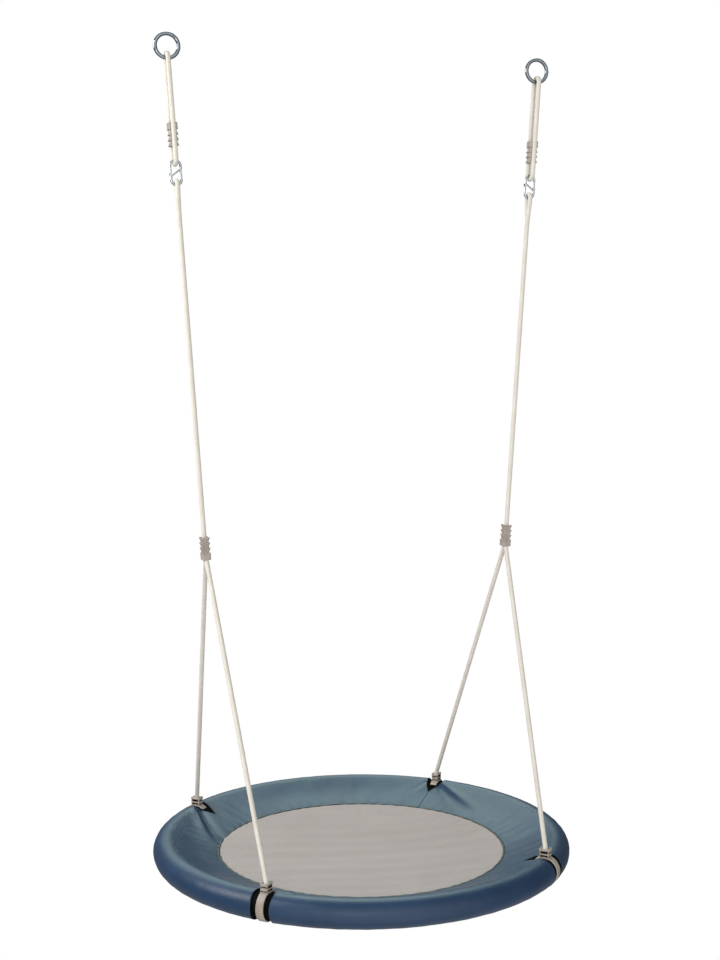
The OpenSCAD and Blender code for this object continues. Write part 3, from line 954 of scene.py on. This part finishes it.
def fold(sideways, out, start, end, rise, width, valley):
    """A fold's height in mm: one side stands over the other along a line that dies out."""
    step = np.subtract(end, start)
    t = ((sideways - start[0]) * step[0] + (out - start[1]) * step[1]) / (step @ step)
    off = ((sideways - start[0]) * step[1] - (out - start[1]) * step[0]) / np.hypot(*step)
    spread = width * (0.6 + 0.9 * np.clip(t, 0, 1))
    fade = np.clip(t / 0.08, 0, 1) * np.clip((1 - t) / 0.65, 0, 1)
    x = off / spread
    ledge = rise * x * np.exp((1 - x * x) / 2)
    dip = valley * (0.35 * np.exp(-((x / 1.5) ** 2)) - np.exp(-4 * x * x))
    return fade * (ledge + dip)


# How deep the cloth sags between clips, and its puckers along the seam with the mesh
SAG = 2.2 * MM
PUCKER = 0.5 * MM
PUCKER_REACH = 11 * MM
# Folds reach this far over the rim's crown, and die out within the second length
FOLD_END = 14 * MM
FOLD_FADE = 8 * MM
DIMPLE_FADE = 30 * MM


def cover_relief(azimuth, s):
    """How far the cloth stands off its smooth shape, in metres: sags, folds and puckers."""
    turn = np.degrees(azimuth)
    from_clip = turn % 90 - 45
    to_clip = np.abs(np.radians(from_clip)) * rim_r
    slack = np.sin(math.pi * np.clip(s / skirt_len, 0, 1)) ** 1.5
    relief = -SAG * slack * np.clip(to_clip / 0.2, 0.25, 1)
    relief += 0.35 * MM * slack * np.sin(azimuth * 23 + 1.4 * np.sin(azimuth * 5) + s * 16)
    relief += 0.22 * MM * slack * np.sin(azimuth * 61 + 2.3 * np.sin(azimuth * 9) - s * 31)
    pucker = PUCKER * np.exp(-s / PUCKER_REACH)
    relief += pucker * np.sin(azimuth * 62 + 2.2 * np.sin(azimuth * 11))
    on_top = np.clip((skirt_len + FOLD_END - s) / FOLD_FADE, 0, 1)
    for clip, *shape in FOLDS:
        away = azimuth - math.radians(clip)
        away = np.arctan2(np.sin(away), np.cos(away))
        near = on_top * (np.abs(away) < math.pi / 4)
        r = profile_r[:, None] / MM
        relief += MM * near * fold(r * np.sin(away), r * np.cos(away), *shape)
    # Soft dimples where the padded rim takes the strain
    wrap = np.clip((s - skirt_len) / DIMPLE_FADE, 0, 1)
    relief += wrap * 0.16 * MM * np.sin(azimuth * 37 + 2.5 * np.sin(azimuth * 7 + s * 9))
    relief += wrap * 0.10 * MM * np.sin(azimuth * 83 - s * 33 + np.sin(azimuth * 13))
    return relief


profile_r, profile_z, profile_n, profile_s = cover_profile()
SEAM_GAP = 0.25 * MM


def cover_points(panel_angle, across):
    """Points of a panel. across runs from -1 to 1 between the edges of its two openings."""
    edge = math.pi / 4 - np.arcsin((slit_half_width(profile_r) + SEAM_GAP) / profile_r)
    azimuth = math.radians(panel_angle) + edge[:, None] * across[None, :]
    s = np.repeat(profile_s[:, None], len(across), 1)
    lift = cover_relief(azimuth, s)
    open_edge = slit_half_width(profile_r)[:, None] > 1 * MM
    lip = np.exp(-(1 - np.abs(across))[None, :] * edge[:, None] * rim_r / (5 * MM))
    lift = lift + np.where(open_edge, 0.5 * MM * lip, 0)
    r = profile_r[:, None] + lift * profile_n[:, 0][:, None]
    z = profile_z[:, None] + lift * profile_n[:, 1][:, None]
    points = np.stack([r * np.cos(azimuth), r * np.sin(azimuth), z], -1)
    uv = np.stack([s, azimuth * rim_r], -1)
    return points, uv


def thicken(obj, thickness):
    """Gives a sheet its thickness, on its lower or inner side."""
    modifier = obj.modifiers.new("thickness", "SOLIDIFY")
    modifier.thickness = thickness
    modifier.offset = -1.0
    bake(obj)


BEAD_SIDES = 12


def bead(name, path, half_w, half_h, up=None):
    """A flattened cord along a path, as a bound edge or a welt."""
    n, b = path_frames(path)
    if up is not None:
        tangent = np.gradient(path, axis=0)
        tangent /= np.linalg.norm(tangent, axis=1)[:, None]
        n = np.cross(up, tangent)
        n /= np.linalg.norm(n, axis=1)[:, None]
        b = np.cross(tangent, n)
    a = np.linspace(0, 2 * math.pi, BEAD_SIDES, endpoint=False)[None, :, None]
    points = path[:, None] + (
        half_w * np.cos(a) * n[:, None] + half_h * np.sin(a) * b[:, None]
    )
    uv = np.stack(np.meshgrid(np.linspace(0, 8 * MM, BEAD_SIDES + 1), arc_length(path)), -1)
    return grid(name, points, uv, close_cols=True, caps=True)


STITCH_LEN = 3.2 * MM
STITCH_GAP = 1.6 * MM
STITCH_R = 0.32 * MM
STITCH_SIDES = 6
# Thickness of a stitch from one end to the other
STITCH_SHAPE = [(0.0, 0.3), (0.25, 0.95), (0.5, 1.0), (0.75, 0.95), (1.0, 0.3)]


def at_distance(values, s, distance):
    """Row values interpolated at a distance along a path whose rows lie at s."""
    return np.array([np.interp(distance, s, values[:, k]) for k in range(3)])


def stitches(name, path, normals):
    """A row of short stitches lying on a surface along a path."""
    s = arc_length(path)
    starts = np.arange(STITCH_GAP, s[-1] - STITCH_LEN, STITCH_LEN + STITCH_GAP)
    verts, faces = [], []
    ring = np.linspace(0, 2 * math.pi, STITCH_SIDES, endpoint=False)
    last = STITCH_SIDES * (len(STITCH_SHAPE) - 1)
    for start in starts:
        base = len(verts)
        p0 = at_distance(path, s, start)
        p1 = at_distance(path, s, start + STITCH_LEN)
        up = at_distance(normals, s, start)
        along = (p1 - p0) / np.linalg.norm(p1 - p0)
        side = np.cross(along, up)
        for t, size in STITCH_SHAPE:
            centre = p0 + (p1 - p0) * t + up * STITCH_R * (0.2 + 0.8 * math.sin(math.pi * t))
            for a in ring:
                verts.append(centre + size * STITCH_R * (math.cos(a) * side + math.sin(a) * up))
        for row in range(base, base + last, STITCH_SIDES):
            for i in range(STITCH_SIDES):
                j = (i + 1) % STITCH_SIDES
                faces.append([row + i, row + j, row + STITCH_SIDES + j, row + STITCH_SIDES + i])
        faces.append([base + i for i in reversed(range(STITCH_SIDES))])
        faces.append([base + last + i for i in range(STITCH_SIDES)])
    return new_mesh(name, verts, faces)


PANEL_COLS = 330
CLOTH_T = 1.1 * MM
HEM_LIFT = 0.8 * MM
TRIM_STEP = 2.0 * MM
STITCH_ROWS = (3, 5)
UP = np.tile([0.0, 0.0, 1.0], (PANEL_COLS, 1))
# Columns crowd towards the panel's two ends, where the openings are
crowded = np.sin(np.linspace(-math.pi / 2, math.pi / 2, PANEL_COLS))
across = crowded * 0.35 + np.linspace(-1, 1, PANEL_COLS) * 0.65
open_rows = slit_half_width(profile_r) > 0.6 * MM
first, last = np.flatnonzero(open_rows)[[0, -1]]

for name, angle in PANELS.items():
    points, uv = cover_points(angle, across)
    obj = grid(f"cover_{name}", points, uv)
    trims = []
    # Bound edges of the two openings, from tip to tip round the rim
    for end, label in ((0, "start"), (-1, "end")):
        path = resample(points[first : last + 1, end], TRIM_STEP)
        trims.append(bead(f"binding_{name}_{label}", path, 1.0 * MM, 1.3 * MM))
        # The seam from the opening's tip to the mesh
        seam = resample(points[: first + 1, end] + [0, 0, 0.3 * MM], TRIM_STEP)
        trims.append(bead(f"seam_{name}_{label}", seam, 0.9 * MM, 0.5 * MM))
    # Hem along the mesh, with two rows of stitches. Its near-black binding is partly painted shade
    hem = points[0, :] + [0, 0, HEM_LIFT]
    trims.append(bead(f"hem_{name}", hem, 3.4 * MM, 1.6 * MM, UP))
    thicken(obj, CLOTH_T)
    for k, row in enumerate(STITCH_ROWS):
        line = points[row, :] + [0, 0, 0.1 * MM]
        trims.append(stitches(f"stitching_{name}_{k}", line, UP))
    finish_piece(obj, COVER, "seat", "blue_cover", f"cover_panel_{name}")
    for trim in trims:
        material = THREAD if "stitching" in trim.name else BINDING
        finish_piece(trim, material, "seat", "blue_cover")


# A black sheet under each opening, between the skirt and the foam: painted shade, so that each
# opening is dark inside
SHADE_SHEET_HALF_W = 27 * MM
SHADE_SHEET_T = 0.8 * MM
for name, angle in CLIPS.items():
    radial = np.linspace(SLIT_TIP_R - 16 * MM, 405 * MM, 24)
    across_shade_sheet = np.linspace(-SHADE_SHEET_HALF_W, SHADE_SHEET_HALF_W, 28)
    rr, tt = np.meshgrid(radial, across_shade_sheet, indexing="ij")
    drop = 3.2 * MM + 1.5 * MM * np.sin(rr * 90) * np.cos(tt * 70)
    height = (rr - rim_r - skirt_in[0]) * math.tan(skirt_angle) + skirt_in[1] - drop
    points = transform(np.stack([rr - rim_r, tt, height], -1), clip_matrix(angle))
    obj = grid(f"shade_sheet_{name}", points, np.stack([rr, tt], -1))
    thicken(obj, SHADE_SHEET_T)
    finish_piece(obj, FOAM, "seat", "black_foam")


# ---------------------------------------------------------------- mesh panel


RIDGE = 1.6 * MM
EDGE_PULL = 0.9 * MM
NARROW_BAND = 1.7 * MM
WIDE_BAND = 1.2 * MM


def dish(a, r):
    """Height of the mesh: a shallow bowl, pulled into faint ridges towards the clips."""
    x = r / mesh_r
    z = mesh_edge_z - mesh_sag * (1 - x**2)
    ridge = np.cos(4 * a - math.pi)
    z = z + RIDGE * ridge * x**2 * (1 - x) * 4
    pull = x**10 * (1 - x) * 12
    z = z + EDGE_PULL * pull * np.sin(a * 71 + np.sin(a * 9))
    # Slack that gathers in broad soft bands from side to side, most of all near the front
    across = r * np.sin(a) + 0.10 * r * np.cos(a)
    bend = 1.6 * np.sin(r * np.cos(a) * 9)
    slack = (1 - x**6) * (0.55 - 0.45 * np.sin(a) * x)
    z = z + NARROW_BAND * slack * np.sin(across * 104 + bend)
    return z + WIDE_BAND * slack * np.sin(across * 57 - 2 * bend + r * np.cos(a) * 21)


MESH_T = 1.0 * MM
MESH_RINGS = 110
MESH_SPOKES = 360
rings = np.linspace(0.004, 1, MESH_RINGS) * (mesh_r + 0.2 * MM)
spokes = np.linspace(0, 2 * math.pi, MESH_SPOKES + 1)[:-1]
rr, aa = np.meshgrid(rings, spokes, indexing="ij")
points = np.stack([rr * np.cos(aa), rr * np.sin(aa), dish(aa, rr)], -1)
wrapped = np.concatenate([points, points[:, :1]], 1)
obj = grid("mesh_panel", points, wrapped[..., :2], close_cols=True)
thicken(obj, MESH_T)
finish_piece(obj, MESH, "seat", "taupe_mesh", "seat_mesh")


# ---------------------------------------------------------------- kept CAD nodes

KEPT = {
    "s_link": CHROME,
    "upper_gate": CHROME,
    "lower_gate": CHROME,
    "gate_pins": FIXING,
    "leg_ferrules": FIXING,
    "clip_screws": FIXING,
    "joiner_screws": FIXING,
    "frame_joiners": TUBE,
    "frame_tube": TUBE,
}
for node_name, node in frame["nodes"].items():
    for start, material in KEPT.items():
        if node_name.startswith(start):
            node.data.materials.clear()
            node.data.materials.append(material)


# ---------------------------------------------------------------- stage

# White to the eye. What the room casts on the swing: dim all round, a wide white wall behind the
# viewer, a bright panel high behind the swing, and a little light from below
world = bpy.data.worlds.new("studio")
world.use_nodes = True
tree = world.node_tree
where = tree.nodes.new("ShaderNodeTexCoord")
DIM_ROOM = (0.12, 0.12, 0.12)
ROOM_PARTS = [
    ((-0.15, -0.98, 0.10), 0.25, 1.0, (1.30, 1.29, 1.28)),
    ((0.05, 0.72, 0.69), 0.86, 0.95, (1.5, 1.85, 1.68)),
    ((0.20, 0.60, 0.775), 0.90, 0.985, (1.7, 2.3, 2.0)),
    ((0.0, 0.0, -1.0), 0.1, 1.0, (0.4, 0.4, 0.4)),
]
room = tree.nodes["Background"]
total = None
for way, start, full, glow in ROOM_PARTS:
    facing = tree.nodes.new("ShaderNodeVectorMath")
    facing.operation = "DOT_PRODUCT"
    facing.inputs[1].default_value = way
    tree.links.new(where.outputs["Generated"], facing.inputs[0])
    level = tree.nodes.new("ShaderNodeMapRange")
    level.interpolation_type = "SMOOTHSTEP"
    level.inputs["From Min"].default_value = start
    level.inputs["From Max"].default_value = full
    tree.links.new(facing.outputs["Value"], level.inputs["Value"])
    add = tree.nodes.new("ShaderNodeVectorMath")
    add.operation = "MULTIPLY_ADD"
    add.inputs[1].default_value = glow
    add.inputs[2].default_value = DIM_ROOM
    tree.links.new(level.outputs["Result"], add.inputs[0])
    if total is not None:
        tree.links.new(total, add.inputs[2])
    total = add.outputs["Vector"]
tree.links.new(total, room.inputs["Color"])
backdrop = tree.nodes.new("ShaderNodeBackground")
backdrop.inputs["Color"].default_value = (1, 1, 1, 1)
seen = tree.nodes.new("ShaderNodeLightPath")
either = tree.nodes.new("ShaderNodeMixShader")
tree.links.new(seen.outputs["Is Camera Ray"], either.inputs["Fac"])
tree.links.new(room.outputs["Background"], either.inputs[1])
tree.links.new(backdrop.outputs["Background"], either.inputs[2])
tree.links.new(either.outputs["Shader"], tree.nodes["World Output"].inputs["Surface"])
bpy.context.scene.world = world
bpy.context.scene.view_settings.view_transform = "Standard"


def softbox(name, at, target, size, power):
    data = bpy.data.lights.new(name, "AREA")
    data.shape = "RECTANGLE"
    data.size, data.size_y = size
    data.energy = power
    light = bpy.data.objects.new(name, data)
    light.location = at
    light.rotation_euler = (Vector(target) - Vector(at)).to_track_quat("-Z", "Y").to_euler()
    bpy.context.scene.collection.objects.link(light)


seat_centre = (0, 0, rim_z)
softbox("key_light", (-2.8, 0.3, 0.5), seat_centre, (1.8, 1.8), 88)
softbox("glint_light", (-1.6, -3.2, -0.6), seat_centre, (0.5, 0.5), 10)
